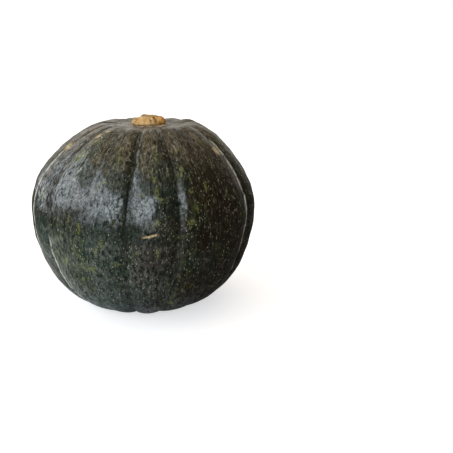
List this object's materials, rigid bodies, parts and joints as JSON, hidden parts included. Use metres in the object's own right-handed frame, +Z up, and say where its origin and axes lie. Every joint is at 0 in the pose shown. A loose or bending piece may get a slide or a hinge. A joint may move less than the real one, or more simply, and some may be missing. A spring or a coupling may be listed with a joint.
{
  "type": "kabocha squash",
  "caption": "Whole ribbed squash, broad and slightly flattened, with a low corky stem stub in its crown and a small flat spot under its blossom end.",
  "frame": {"origin": "middle of the flat spot under the blossom end, on the surface that the squash stands on", "axes": "+Z up from the blossom end to the stem, -Y towards the side with the deepest groove, +X to the right of it"},
  "size_m": [0.1889, 0.1879, 0.162],
  "materials": {
    "rind": "satin rind with a waxy bloom",
    "cork": "dry and corky"
  },
  "bodies": {
    "root": {"fruit": "rind", "stem": "cork"}
  },
  "joints": []
}
